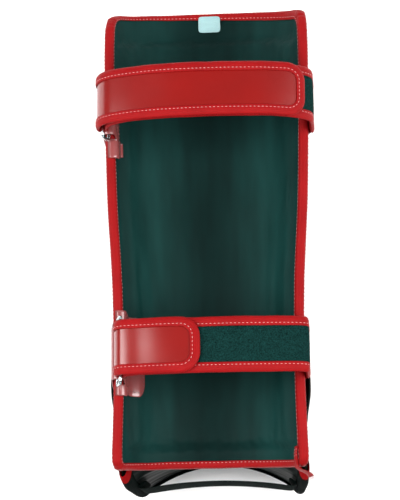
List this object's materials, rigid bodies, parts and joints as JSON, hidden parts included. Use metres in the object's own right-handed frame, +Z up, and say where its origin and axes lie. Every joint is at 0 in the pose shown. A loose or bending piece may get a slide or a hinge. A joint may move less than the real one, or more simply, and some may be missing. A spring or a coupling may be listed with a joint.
{
  "type": "shin and instep guard",
  "caption": "Padded shin guard with a hinged instep pad, soft lining and hook-and-loop straps through wire rings, lying on its front.",
  "frame": {"origin": "middle of the surface that the guard lies on, under the middle of its box", "axes": "+Y along the shin to the knee end, +X across to the side that the straps are sewn to, +Z up from the surface to the leg side"},
  "size_m": [0.1974, 0.4574, 0.1868],
  "materials": {
    "red_leather": "glossy red coated artificial leather",
    "red_tape": "red woven binding tape with pale stitches",
    "lining_nylon": "dark green-black satin nylon",
    "black_cloth": "black coated cloth",
    "elastic_band": "black ribbed elastic webbing",
    "fastener_tape": "dark fuzzy hook-and-loop tape",
    "ring_wire": "polished plated steel wire",
    "label_cloth": "plain pale woven tape"
  },
  "bodies": {
    "root": {"shin_shell": "red_leather", "lining_cushion": "lining_nylon", "edge_binding": "red_tape", "instep_pad": "black_cloth", "instep_binding": "red_tape", "sole_band": "elastic_band", "label": "label_cloth", "upper_strap": "red_leather", "upper_strap_binding": "red_tape", "upper_loop_tape": "fastener_tape", "upper_hook_tape": "fastener_tape", "upper_ring": "ring_wire", "upper_ring_tab": "red_leather", "upper_anchor": "red_leather", "lower_strap": "red_leather", "lower_strap_binding": "red_tape", "lower_loop_tape": "fastener_tape", "lower_hook_tape": "fastener_tape", "lower_ring": "ring_wire", "lower_ring_tab": "red_leather", "lower_anchor": "red_leather"}
  },
  "joints": []
}
